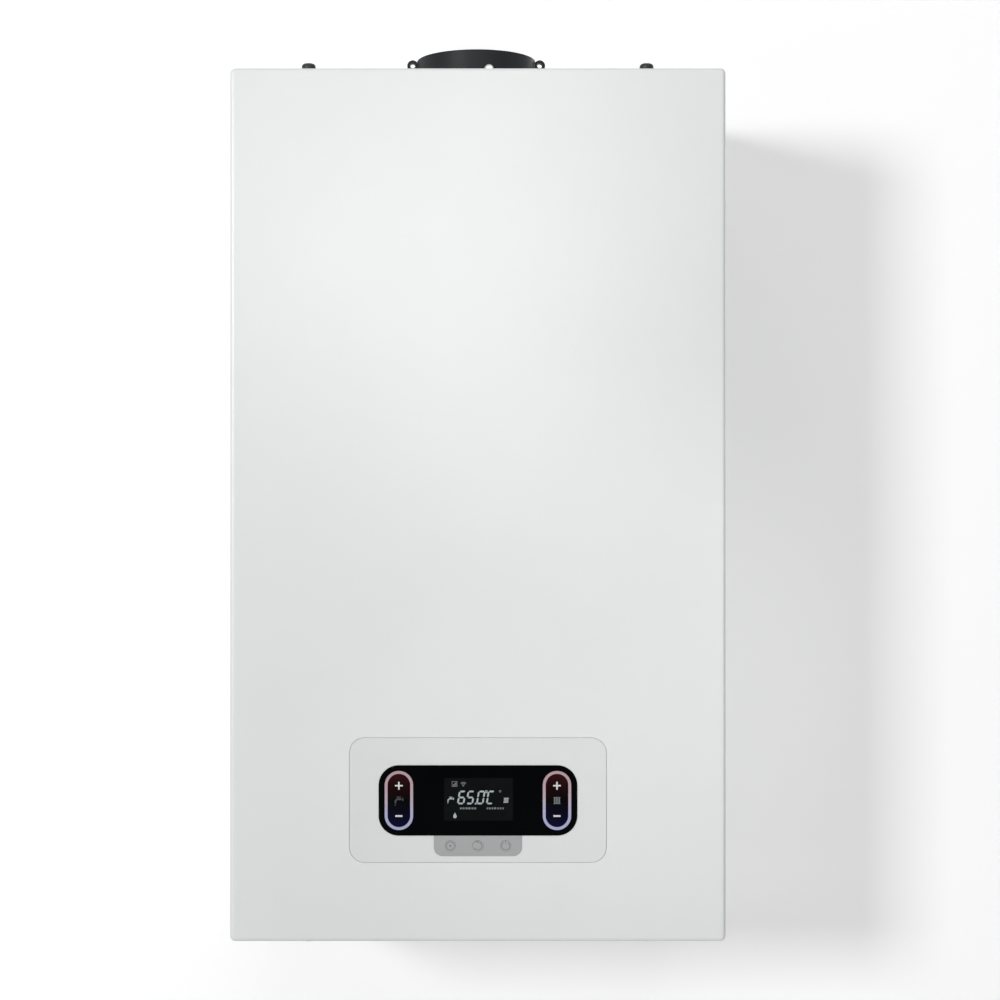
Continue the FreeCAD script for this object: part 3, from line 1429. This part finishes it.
def make_glass():
    glass = rounded_slab("glass_width", "glass_height", "glass_corner", "glass_z", "glass_rear", "glass_thick")
    keep(cut(glass, *ring_holes("fit_gap", "glass_rear + 1", "glass_thick + 2")), "display_glass")
    rings = []
    for side, label in (("-1", "hot_water_rocker"), ("1", "heating_rocker")):
        centre = (f"{side} * ring_spread", "glass_z")
        inner = "ring_width - 2 * ring_band", "ring_height - 2 * ring_band"
        band = stadium("ring_width", "ring_height", centre, "panel_rear", "panel_rear - glass_front")
        opening = stadium(*inner, centre, "panel_rear + 1", "panel_rear - glass_front + 2")
        axle = (centre[0], "rocker_front + rocker_thick / 2", "glass_z")
        bore = across("axle_radius + shaft_gap", "ring_width - ring_band + 2 * axle_play", axle)
        rings.append(cut(band, opening, bore))
        size = [f"{text} - 2 * rocker_gap" for text in inner]
        cap = stadium(*size, centre, "rocker_front + rocker_thick", "rocker_thick")
        keep(fuse(cap, across("axle_radius", "ring_width - ring_band", axle)), label)
    keep(group(*rings), "light_rings")
    return block(
        ("-lcd_width / 2", "glass_rear", "glass_z - lcd_height / 2"),
        ("lcd_width / 2", "board_front", "glass_z + lcd_height / 2"),
    )


def make_keys():
    strip = strip_slab("strip_width", "strip_low", "panel_rear - 1", "panel_thick - 1 + strip_proud")
    keep(cut(strip, *key_holes("panel_rear + 1")), "key_strip")
    stem = "board_front - key_travel - key_stop_gap - front"
    collar = "-panel_thick - 3"
    for x, label in zip(key_places(), ("menu_key", "back_key", "power_key")):
        profile = [("0", f"-({stem})"), ("2", f"-({stem})"), ("2", collar), ("key_radius", collar)]
        profile += [("key_radius", "key_proud"), ("0", "key_proud")]
        keep(turned(label, profile, (x, "front", "key_z"), FRONTWARD), label)


def make_control_box(lcd):
    low = ("-box_width / 2", "box_front", "panel_z - box_height / 2")
    high = ("box_width / 2", "box_rear", "panel_z + box_height / 2")
    wall = "box_wall"
    inside = block(
        (f"{low[0]} + {wall}", f"{low[1]} - 1", f"{low[2]} + {wall}"),
        (f"{high[0]} - {wall}", f"{high[1]} - {wall}", f"{high[2]} - {wall}"),
    )
    posts = [
        rod("4", "box_rear - board_front - board_thick - box_wall", (x, f"box_rear - {wall}", z), FRONTWARD)
        for x in ("-box_width / 2 + 12", "box_width / 2 - 12")
        for z in ("panel_z - box_height / 2 + 12", "panel_z + box_height / 2 - 12")
    ]
    arms = [
        block((a, "box_rear - 12", "panel_z - 24"), (b, "box_rear - 8", "panel_z + 24"))
        for a, b in (("-half_inside", "-box_width / 2"), ("box_width / 2", "half_inside"))
    ]
    keep(fuse(cut(block(low, high), inside), *posts, *arms), "control_box")
    board = block(
        ("-box_width / 2 + 4", "board_front", "panel_z - box_height / 2 + 4"),
        ("box_width / 2 - 4", "board_front + board_thick", "panel_z + box_height / 2 - 4"),
    )
    back = "board_front + board_thick"
    parts = []
    for x, z, w, h, d in BOARD_PARTS:
        low = (f"{x} - {w}", back, f"panel_z + {z} - {h}")
        parts.append(block(low, (f"{x} + {w}", f"{back} + {d}", f"panel_z + {z} + {h}")))
    keep(fuse(board, lcd, *parts), "control_board")


# Assembly

def make_all():
    fill_sheet()
    make_front_casing()
    screws = casing_screws("top", "top_screw_head", "top_screw_rise", "top_screw_head * 0.45", UP)
    keep(group(*screws), "casing_screws")
    make_frame()
    make_wall_bracket()
    make_flue_collar()
    make_exchanger()
    make_fan()
    make_manifold()
    make_mixer()
    make_gas_train()
    make_vessel()
    make_plate_exchanger()
    make_groups()
    make_pump()
    make_safety_valve()
    make_siphon()
    make_glands()
    make_ignition()
    make_control_panel()
    doc.recompute()


def check_all():
    faults = {"Invalid", "Error"}
    failed = [f"{thing.Label}: {thing.State}" for thing in doc.Objects if faults & set(thing.State)]
    for thing in nodes:
        if thing.Shape.isNull() or not thing.Shape.isValid() or not thing.Shape.Solids:
            failed.append(f"{thing.Label}: bad shape")
    if failed:
        raise RuntimeError("; ".join(failed))


def write_all():
    os.makedirs("parts", exist_ok=True)
    for thing in nodes:
        thing.Shape.exportStep(f"parts/{thing.Label}.step")
    print(f"{len(nodes)} pieces written")


make_all()
check_all()
write_all()
